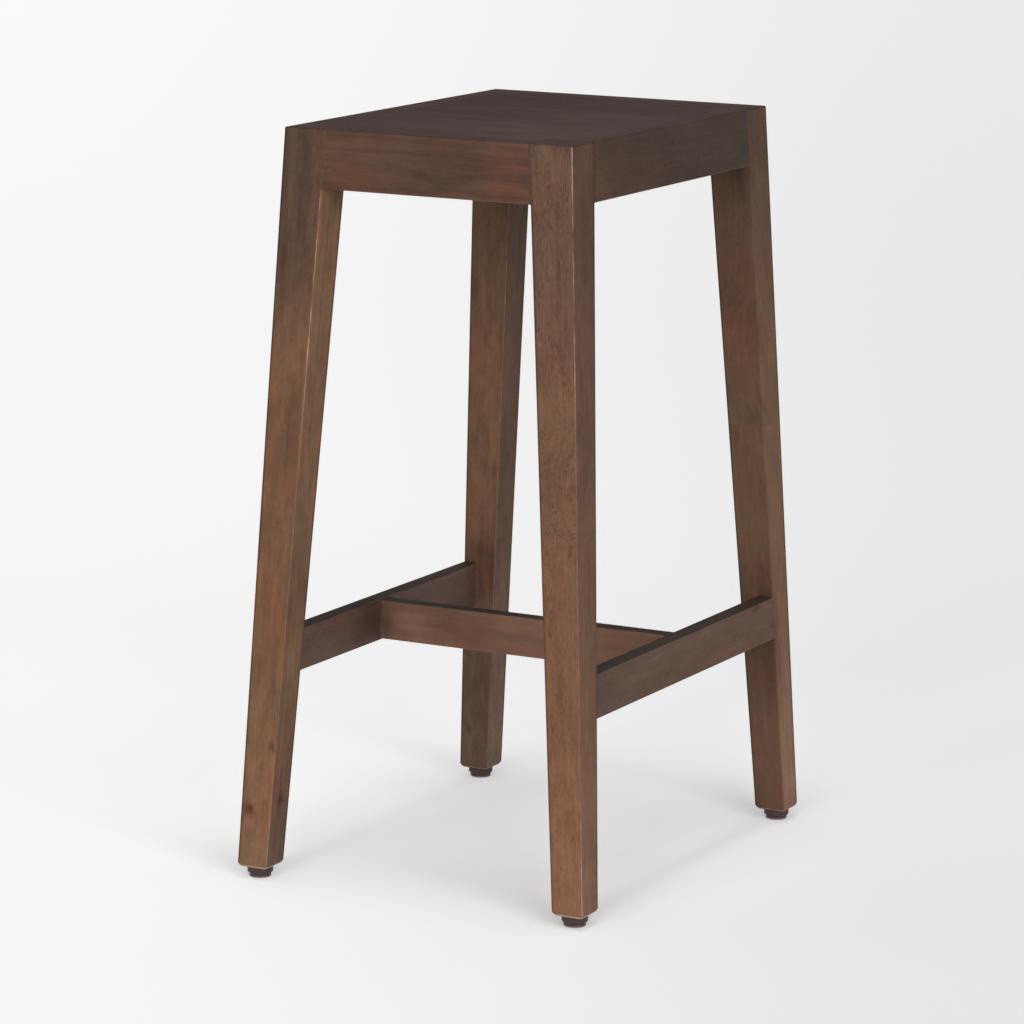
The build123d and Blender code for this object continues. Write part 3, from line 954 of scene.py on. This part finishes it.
def make_leg(corner, material):
    """A leg with its toe rounded over, which stands for the plainly chamfered one."""
    foot, head = leg_ends(corner)
    bm = bmesh.new()
    bm.from_mesh(nodes["leg_" + corner].data)
    bmesh.ops.remove_doubles(bm, verts=bm.verts, dist=weld_distance)
    cut = foot + Vector((0, 0, toe_height))
    everything = [*bm.verts, *bm.edges, *bm.faces]
    bmesh.ops.bisect_plane(bm, geom=everything, plane_co=cut, plane_no=(0, 0, 1))
    toe = []
    for face in bm.faces:
        middle = face.calc_center_median()
        across = leg_across(foot, head, middle)
        outside = max(abs(across.x), abs(across.y)) > leg_bottom_side * toe_outside
        under = all(vertex.co.z < foot.z + level_tolerance for vertex in face.verts)
        if middle.z < cut.z and (outside or under):
            toe.append(face)
    bmesh.ops.delete(bm, geom=toe, context="FACES")
    open_edges = [edge for edge in bm.edges if edge.is_boundary]
    rim = [edge for edge in open_edges if edge.verts[0].co.z > cut.z - level_tolerance]
    hole = [edge for edge in open_edges if edge.verts[0].co.z < foot.z + level_tolerance]
    flat = [face.normal.copy() for face in bm.faces if face.calc_area() > flat_face_area]
    share = toe_height / (head.z - foot.z)
    rim_half = (leg_bottom_side + (leg_top_side - leg_bottom_side) * share) / 2
    size_before = rim_half
    for i in range(1, toe_steps + 1):
        angle = math.radians(90) * i / toe_steps
        rise = toe_height * (1 - math.sin(angle))
        size = rim_half - toe_inset * (1 - math.cos(angle))
        rim = toe_ring(bm, foot, head, rim, rise, size / size_before)
        rim = [edge for edge in rim if edge.is_boundary]
        size_before = size
    bmesh.ops.bridge_loops(bm, edges=rim + hole)
    bmesh.ops.recalc_face_normals(bm, faces=bm.faces)
    mesh = bpy.data.meshes.new("rounded_leg_" + corner)
    bm.to_mesh(mesh)
    bm.free()
    leg = new_object("rounded_leg_" + corner, mesh, material)
    smooth(leg)
    for face in mesh.polygons:
        if any(face.normal.angle(side) < math.radians(2) for side in flat):
            face.use_smooth = False
    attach(leg, "frame")
    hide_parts("leg_" + corner)


# Geometry trees for threads and screws

def geometry_group(name, inputs):
    return node_group(name, inputs, {"Geometry": "Geometry"}, "GeometryNodeTree")


def flat_grid(around, along):
    """A flat grid to roll up: its mesh, and each point's share of a turn and of the length."""
    sizes = {"Size X": 1.0, "Size Y": 1.0, "Vertices X": around, "Vertices Y": along}
    grid = add("GeometryNodeMeshGrid", sizes)
    place = split(add("GeometryNodeInputPosition"))
    return grid, plus(place["X"], 0.5), plus(place["Y"], 0.5)


def rolled_up(grid, turn, radius, height):
    """Rolls a grid up round the axis, by each point's radius and height, and closes its seam."""
    angle = times(turn, math.tau)
    x = times(radius, calc("COSINE", angle))
    y = times(radius, calc("SINE", angle))
    rolled = add("GeometryNodeSetPosition", {"Geometry": grid, "Position": join(x, y, height)})
    return add("GeometryNodeMergeByDistance", {"Geometry": rolled, "Distance": 0.000001})


def thread_group():
    """A threaded rod that stands on the origin: its radius rises and falls along a helix."""
    sizes = ("Diameter", "Depth", "Pitch", "Length", "Lead In", "Point")
    inputs = {**dict.fromkeys(sizes, "Float"), "Around": "Int", "Along": "Int"}
    tree, given, made = geometry_group("threaded_rod", inputs)
    grid, turn, share = flat_grid(given["Around"], given["Along"])
    height = times(share, given["Length"])
    wave = minus(calc("DIVIDE", height, given["Pitch"]), turn)
    wave = calc("PINGPONG", wave, 0.5)
    wave = step(wave, *thread_flank)
    fade_low = step(height, 0.0, given["Lead In"], 1.0, 0.0)
    from_end = minus(given["Length"], height)
    fade_high = step(from_end, 0.0, given["Lead In"], 1.0, 0.0)
    cut = calc("MAXIMUM", wave, calc("MAXIMUM", fade_low, fade_high))
    radius = times(given["Diameter"], 0.5)
    radius = minus(radius, times(cut, given["Depth"]))
    pointed = calc("DIVIDE", from_end, calc("MAXIMUM", given["Point"], 0.00001))
    radius = times(radius, calc("MINIMUM", pointed, 1.0))
    put(made["Geometry"], rolled_up(grid, turn, radius, height))
    return tree


threaded_rod = thread_group()


def threaded(given, diameter, depth, around, along, point=0.0):
    """A threaded rod with the tree's length and pitch, its depth and point in pitches."""
    pitch = given["Pitch"]
    sizes = {"Diameter": diameter, "Depth": times(pitch, depth), "Point": times(pitch, point)}
    lengths = {"Length": given["Length"], "Pitch": pitch, "Lead In": pitch}
    return use(threaded_rod, {**sizes, **lengths, "Around": around, "Along": along})[0]


def moved(geometry, translation):
    return add("GeometryNodeTransform", {"Geometry": geometry, "Translation": translation})


def cylinder(sides, radius, depth, bottom):
    """A many-sided bar whose lower end is at the given height."""
    bar = add("GeometryNodeMeshCylinder", {"Vertices": sides, "Radius": radius, "Depth": depth})
    lift = calc("MULTIPLY_ADD", depth, 0.5, bottom)
    return moved(bar, join(0.0, 0.0, lift))


def joined(parts):
    node = making.tree.nodes.new("GeometryNodeJoinGeometry")
    for part in reversed(parts):
        put(node.inputs[0], part)
    return node.outputs[0]


def end_tree(geometry, material, made):
    """Realizes what the tree has made, gives it its material and ends the tree."""
    plain = add("GeometryNodeRealizeInstances", {"Geometry": geometry})
    dressed = add("GeometryNodeSetMaterial", {"Geometry": plain, "Material": material})
    put(made["Geometry"], dressed)


def grown(name, tree, inputs, start_mesh=None):
    """Runs a geometry tree with its inputs and keeps the result as a plain mesh."""
    holder = bpy.data.objects.new(name, start_mesh or bpy.data.meshes.new(name))
    bpy.context.scene.collection.objects.link(holder)
    modifier = holder.modifiers.new("grow", "NODES")
    modifier.node_group = tree
    for item in tree.interface.items_tree:
        if item.in_out == "INPUT" and item.name in inputs:
            modifier[item.identifier] = inputs[item.name]
    bpy.context.view_layer.update()
    shown = holder.evaluated_get(bpy.context.evaluated_depsgraph_get())
    mesh = bpy.data.meshes.new_from_object(shown)
    holder.modifiers.clear()
    bpy.data.objects.remove(holder)
    mesh.name = name
    return mesh


def stem_tree():
    """A foot's stem: a plain tail, a hexagon that the collar is moulded round, and a threaded shank."""
    tail_sizes = ("Tail Diameter", "Tail Length")
    sizes = (*tail_sizes, "Hexagon Flats", "Hexagon Length", "Diameter", "Length", "Pitch")
    inputs = {"Place": "Vector", **dict.fromkeys(sizes, "Float"), "Material": "Material"}
    tree, given, made = geometry_group("foot_stem", inputs)
    tail_radius = times(given["Tail Diameter"], 0.5)
    tail = cylinder(36, tail_radius, given["Tail Length"], 0.0)
    corner_radius = calc("DIVIDE", given["Hexagon Flats"], 2 * math.cos(math.pi / 6))
    hexagon = cylinder(6, corner_radius, given["Hexagon Length"], given["Tail Length"])
    shank = threaded(given, given["Diameter"], stem_thread_depth, around=37, along=290)
    lift = plus(given["Tail Length"], given["Hexagon Length"])
    shank = moved(shank, join(0.0, 0.0, lift))
    whole = moved(joined([tail, hexagon, shank]), given["Place"])
    end_tree(whole, given["Material"], made)
    return tree


def screw_tree():
    """Wood screws with domed, cross-recessed heads, one on each point, along that point's direction."""
    sizes = ("Head Diameter", "Head Height", "Shank Diameter", "Length", "Pitch")
    inputs = {"Geometry": "Geometry", **dict.fromkeys(sizes, "Float"), "Material": "Material"}
    tree, given, made = geometry_group("wood_screws", inputs)
    head_radius = times(given["Head Diameter"], 0.5)
    grid, turn, share = flat_grid(33, 15)
    under = calc("MINIMUM", times(share, 5.0), 1.0)
    over = calc("MAXIMUM", calc("MULTIPLY_ADD", share, 1.25, -0.25), 0.0)
    lift = times(over, math.pi / 2)
    radius = times(times(under, calc("COSINE", lift)), head_radius)
    upward = times(given["Head Height"], -1.0)
    height = times(calc("SINE", lift), upward)
    head = rolled_up(grid, turn, radius, height)
    slot_long = times(given["Head Diameter"], slot_length)
    slot_wide = times(given["Head Diameter"], slot_width)
    slot_deep = times(given["Head Height"], slot_depth)
    slot_middle = join(0.0, 0.0, times(given["Head Height"], -1.1))
    arms = []
    for size in ((slot_long, slot_wide), (slot_wide, slot_long)):
        arm = add("GeometryNodeMeshCube", {"Size": join(*size, slot_deep)})
        arms.append(moved(arm, slot_middle))
    cut = tree.nodes.new("GeometryNodeMeshBoolean")
    cut.operation = "DIFFERENCE"
    cut.solver = "EXACT"
    put(cut.inputs["Mesh 1"], head)
    for arm in arms:
        put(cut.inputs["Mesh 2"], arm)
    shank = threaded(given, given["Shank Diameter"], screw_thread_depth, 25, 130, screw_point)
    screw = joined([cut.outputs["Mesh"], shank])
    axis = add("GeometryNodeInputNamedAttribute", {"Name": "along"}, data_type="FLOAT_VECTOR")
    rotation = add("FunctionNodeAlignRotationToVector", {"Vector": axis}, axis="Z")
    stand = {"Points": given["Geometry"], "Instance": screw, "Rotation": rotation}
    placed = add("GeometryNodeInstanceOnPoints", stand)
    end_tree(placed, given["Material"], made)
    return tree


def screw_places(node):
    """Where the heads of a node's screws begin, which way they point and how long they are."""
    bm = bmesh.new()
    bm.from_mesh(nodes[node].data)
    bmesh.ops.remove_doubles(bm, verts=bm.verts, dist=weld_distance)
    bm.verts.ensure_lookup_table()
    seen = set()
    found = []
    for vertex in bm.verts:
        if vertex.index in seen:
            continue
        island = [vertex]
        seen.add(vertex.index)
        for here in island:
            for edge in here.link_edges:
                there = edge.other_vert(here)
                if there.index not in seen:
                    seen.add(there.index)
                    island.append(there)
        points = [v.co.copy() for v in island]
        low = Vector([min(p[i] for p in points) for i in range(3)])
        high = Vector([max(p[i] for p in points) for i in range(3)])
        span = high - low
        axis = max(range(3), key=lambda i: span[i])
        middle = (low + high) / 2
        first_end = [p for p in points if p[axis] < low[axis] + level_tolerance]
        last_end = [p for p in points if p[axis] > high[axis] - level_tolerance]
        spread = [max((p - middle).length for p in end) for end in (first_end, last_end)]
        way = Vector([0, 0, 0])
        way[axis] = 1 if spread[0] > spread[1] else -1
        start = middle.copy()
        start[axis] = low[axis] if way[axis] > 0 else high[axis]
        found.append((start, way, span[axis]))
    bm.free()
    return found


def make_screws(node, tree, material):
    """Replaces a group of plain screws by detailed ones in the same places."""
    starts, ways, lengths = zip(*screw_places(node))
    under_heads = [start + way * screw_head_height for start, way in zip(starts, ways)]
    points = bpy.data.meshes.new(node + "_points")
    points.from_pydata(under_heads, [], [])
    along = points.attributes.new("along", "FLOAT_VECTOR", "POINT")
    for item, way in zip(along.data, ways):
        item.vector = way
    mesh = grown(
        node + "_threaded",
        tree,
        {
            "Head Diameter": screw_head_diameter,
            "Head Height": screw_head_height,
            "Shank Diameter": screw_shank_diameter,
            "Length": lengths[0] - screw_head_height,
            "Pitch": screw_pitch,
            "Material": material,
        },
        points,
    )
    obj = new_object(node + "_threaded", mesh, material)
    smooth(obj)
    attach(obj, "frame")
    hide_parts(node)


def make_foot(corner, tree, metal, collar_plastic, pad_plastic):
    """One foot: a threaded stem, the collar moulded round its hexagon, and the pad on the floor."""
    pad_low, pad_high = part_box("foot_pad_" + corner)
    collar_low, collar_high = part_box("foot_collar_" + corner)
    stem_low, stem_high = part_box("foot_stem_" + corner)
    centre = (pad_low + pad_high) / 2
    collar_radius = (collar_high.x - collar_low.x) / 2
    pad_radius = (pad_high.x - pad_low.x) / 2
    hole = stem_hexagon_flats / 2
    collar_outline = rounded_outline(
        [
            (hole + fit_gap, collar_low.z, 0),
            (collar_radius - collar_chamfer, collar_low.z, 0.0003),
            (collar_radius, collar_low.z + collar_chamfer, 0.0007),
            (collar_radius, collar_high.z, 0.0005),
            (hole + fit_gap, collar_high.z, 0),
        ]
    )
    hexagon = stem_hexagon_flats + fit_gap
    mesh = turned("collar_" + corner, centre, collar_outline, hexagon_flats=hexagon)
    collar = new_object("collar_" + corner, mesh, collar_plastic)
    smooth(collar)
    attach(collar, corner + "_screw")
    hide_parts("foot_collar_" + corner)

    socket = stem_tail_diameter / 2 + fit_gap
    pad_outline = rounded_outline(
        [
            (0.0, pad_low.z, 0),
            (pad_radius, pad_low.z, 0.0011),
            (pad_radius, pad_high.z, 0.0004),
            (socket, pad_high.z, 0),
            (socket, stem_low.z - fit_gap, 0),
            (0.0, stem_low.z - fit_gap, 0),
        ]
    )
    mesh = turned("pad_" + corner, centre, pad_outline)
    pad = new_object("pad_" + corner, mesh, pad_plastic)
    smooth(pad)
    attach(pad, corner + "_pad")
    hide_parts("foot_pad_" + corner)

    mesh = grown(
        "stem_" + corner,
        tree,
        {
            "Place": (centre.x, centre.y, stem_low.z),
            "Tail Diameter": stem_tail_diameter,
            "Tail Length": collar_low.z - stem_low.z,
            "Hexagon Flats": stem_hexagon_flats,
            "Hexagon Length": collar_high.z - collar_low.z,
            "Diameter": stem_diameter,
            "Length": stem_high.z - collar_high.z,
            "Pitch": stem_pitch,
            "Material": metal,
        },
    )
    stem = new_object("stem_" + corner, mesh, metal)
    smooth(stem)
    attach(stem, corner + "_screw")
    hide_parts("foot_stem_" + corner)


# The floor, the light and the camera

def floor_glow(across, depth):
    """How much the floor glows: more far off and to the left, and a little more under the stool."""
    fade = calc("POWER", glow_fade, depth)
    glow = calc("MULTIPLY_ADD", fade, -near_glow_drop, far_glow)
    slope = calc("DIVIDE", across, plus(depth, camera_distance))
    to_left = step(slope, -side_glow_slope, side_glow_slope, side_glow, -side_glow)
    glow = plus(glow, to_left)
    wide = calc("DIVIDE", across, stool_glow_half_width)
    deep = calc("DIVIDE", minus(depth, stool_glow_depth), stool_glow_half_depth)
    away = vector_length(join(wide, deep, 0.0))
    glow = plus(glow, step(away, *stool_glow_fade, stool_glow, 0.0))
    return calc("MAXIMUM", glow, 0.0)


def outside_picture(across, depth):
    """A mask of the floor to the sides of the main picture and nearer than it."""
    border = times(plus(depth, camera_distance), picture_slope)
    beside = minus(calc("ABSOLUTE", across), border)
    nearer = step(depth, *nearer_fade, 1.0, 0.0)
    return calc("MAXIMUM", step(beside, *beside_fade), nearer)


def make_floor():
    """A wide pale floor that keeps soft shadows and can't be seen from below."""
    mesh = bpy.data.meshes.new("floor")
    bm = bmesh.new()
    bmesh.ops.create_circle(bm, cap_ends=True, segments=96, radius=floor_radius)
    bm.to_mesh(mesh)
    bm.free()
    material = bpy.data.materials.new("pale_floor")
    material.use_nodes = True
    making.tree = material.node_tree
    making.tree.nodes.clear()
    path = add("ShaderNodeLightPath").node.outputs
    seen = calc("MAXIMUM", path["Is Camera Ray"], path["Is Glossy Ray"])
    seen = calc("MAXIMUM", seen, path["Is Transmission Ray"])
    place = add("ShaderNodeTexCoord", out="Object")
    right = (math.cos(camera_azimuth), math.sin(camera_azimuth), 0)
    onward = (-math.sin(camera_azimuth), math.cos(camera_azimuth), 0)
    across = vector_dot(place, right)
    depth = vector_dot(place, onward)
    strength = times(seen, floor_glow(across, depth))
    matt = add("ShaderNodeBsdfDiffuse", {"Color": floor_colour})
    glow = add("ShaderNodeEmission", {"Color": (1, 1, 1, 1), "Strength": strength})
    lit = add("ShaderNodeAddShader", {0: matt, 1: glow})
    beyond = times(outside_picture(across, depth), seen)
    plain = add("ShaderNodeEmission", {"Color": outside_colour})
    upper = add("ShaderNodeMixShader", {0: beyond, 1: lit, 2: plain})
    clear = add("ShaderNodeBsdfTransparent")
    behind = add("ShaderNodeNewGeometry", out="Backfacing")
    surface = add("ShaderNodeMixShader", {0: behind, 1: upper, 2: clear})
    end = making.tree.nodes.new("ShaderNodeOutputMaterial")
    put(end.inputs["Surface"], surface)
    floor = new_object("floor", mesh, material)


def make_world():
    """An even white light from all round."""
    world = bpy.data.worlds.new("studio")
    bpy.context.scene.world = world
    world.use_nodes = True
    making.tree = world.node_tree
    making.tree.nodes.clear()
    even = add("ShaderNodeBackground", {"Color": (1.0, 1.0, 1.0, 1), "Strength": world_strength})
    end = making.tree.nodes.new("ShaderNodeOutputWorld")
    put(end.inputs["Surface"], even)


def pointing(azimuth, elevation):
    """The way from the stool to something at an azimuth from its front and an elevation."""
    flat = math.cos(elevation)
    return Vector((math.sin(azimuth) * flat, -math.cos(azimuth) * flat, math.sin(elevation)))


def soft_light(name, azimuth, elevation, distance, size, power):
    """A square soft light that looks at the middle of the stool and isn't seen itself."""
    lamp = bpy.data.lights.new(name, "AREA")
    lamp.shape = "SQUARE"
    lamp.size = size
    lamp.energy = power
    light = bpy.data.objects.new(name, lamp)
    bpy.context.scene.collection.objects.link(light)
    light.visible_camera = False
    way = pointing(math.radians(azimuth), math.radians(elevation))
    facing = way.to_track_quat("Z", "Y").to_matrix().to_4x4()
    middle = (cad_box[0] + cad_box[1]) / 2
    light.matrix_world = Matrix.Translation(middle + way * distance) @ facing


def make_camera():
    """A camera where the photograph's stood."""
    data = bpy.data.cameras.new("camera")
    data.lens = camera_lens
    data.sensor_width = sensor_width
    data.clip_end = 200.0
    camera = bpy.data.objects.new("camera", data)
    bpy.context.scene.collection.objects.link(camera)
    back = pointing(camera_azimuth, camera_elevation)
    right = Vector((math.cos(camera_azimuth), math.sin(camera_azimuth), 0))
    up = back.cross(right)
    aim = Vector((0, 0, camera_aim_height)) + right * camera_aim_sideways
    place = aim + back * camera_distance
    level = Matrix((right, up, back)).transposed()
    rolled = level @ Matrix.Rotation(camera_roll, 3, "Z")
    camera.matrix_world = Matrix.Translation(place) @ rolled.to_4x4()
    bpy.context.scene.camera = camera


for corner, look in leg_looks.items():
    make_leg(corner, leg_wood(corner, {**calm_leg, **look}))
dress_boards()
zinc_plate = zinc()
for corner in corners:
    nodes["foot_insert_" + corner].material_slots[0].material = zinc_plate
collar_plastic = foot_plastic("collar_plastic", stain(60, 43, 42), stain(92, 74, 70))
pad_plastic = foot_plastic("pad_plastic", stain(68, 48, 56), stain(120, 106, 106), rim=0.75)
foot_stem = stem_tree()
wood_screws = screw_tree()
for corner in corners:
    make_foot(corner, foot_stem, zinc_plate, collar_plastic, pad_plastic)
for node in ("frame_screws", "seat_screws"):
    make_screws(node, wood_screws, zinc_plate)
make_floor()
make_world()
soft_light("light_left", azimuth=4, elevation=20, distance=5.0, size=3.0, power=76.0)
soft_light("light_right", azimuth=52, elevation=20, distance=5.0, size=3.0, power=110.0)
soft_light("light_high", azimuth=30, elevation=86, distance=3.2, size=0.7, power=18.0)
make_camera()
bpy.context.scene.view_settings.view_transform = "Standard"
